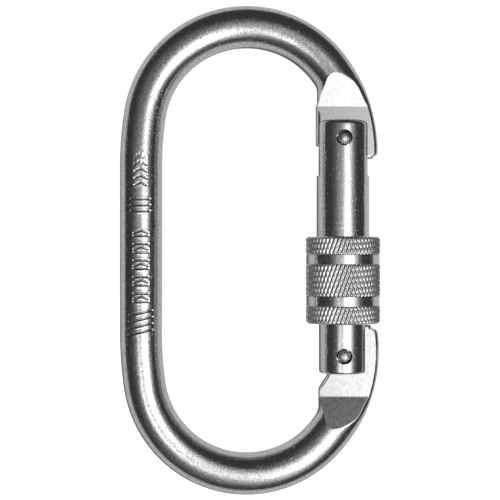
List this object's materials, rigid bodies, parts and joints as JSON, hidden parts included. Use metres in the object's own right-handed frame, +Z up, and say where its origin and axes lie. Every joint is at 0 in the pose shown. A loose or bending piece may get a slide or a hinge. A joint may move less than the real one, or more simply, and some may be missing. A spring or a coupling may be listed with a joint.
{
  "type": "screw-lock carabiner",
  "caption": "Oval steel carabiner: forged round bar, sprung inward-opening gate, and a knurled screw sleeve that locks the gate over the nose.",
  "frame": {"origin": "inside crown of the upper bow, on the bar's centre plane, where the carabiner hangs", "axes": "+Z up along the long axis towards the upper bow's outside, +X towards the gate, front faces -Y"},
  "size_m": [0.0575, 0.0164, 0.108],
  "materials": {
    "polished_bar": "bright plated forged steel, fine scratches along the bar",
    "turned_gate": "turned steel, faint rings round the axis, bright plated",
    "knurled_sleeve": "diamond knurled steel with two smooth bands, bright plated",
    "rivet_steel": "plain steel, slightly dull",
    "spring_steel": "drawn spring wire, grey"
  },
  "bodies": {
    "frame": {"frame_bar": "polished_bar"},
    "gate": {"gate_body": "turned_gate", "hinge_rivet": "rivet_steel", "latch_rivet": "rivet_steel", "gate_spring": "spring_steel"},
    "sleeve": {"lock_sleeve": "knurled_sleeve"},
    "rod": {"push_rod": "rivet_steel"}
  },
  "joints": [
    {"name": "gate_swing", "type": "hinge", "parent": "frame", "child": "gate", "pos_m": [0.0213, 0, -0.0202], "axis": [0, 1, 0], "range_deg": [0, 25], "stiffness_Nm_per_rad": 0.18, "springref_deg": -31.51},
    {"name": "sleeve_travel", "type": "slide", "parent": "gate", "child": "sleeve", "axis": [0, 0, 1], "range_m": [-0.0009, 0.0064]},
    {"name": "rod_push", "type": "slide", "parent": "gate", "child": "rod", "axis": [0, 0, -1], "range_m": [0, 0.001], "deforming": ["gate_spring"]}
  ],
  "couplings": [
    {"joint": "rod_push", "follows": "gate_swing", "m_per_rad": 0.0022}
  ]
}
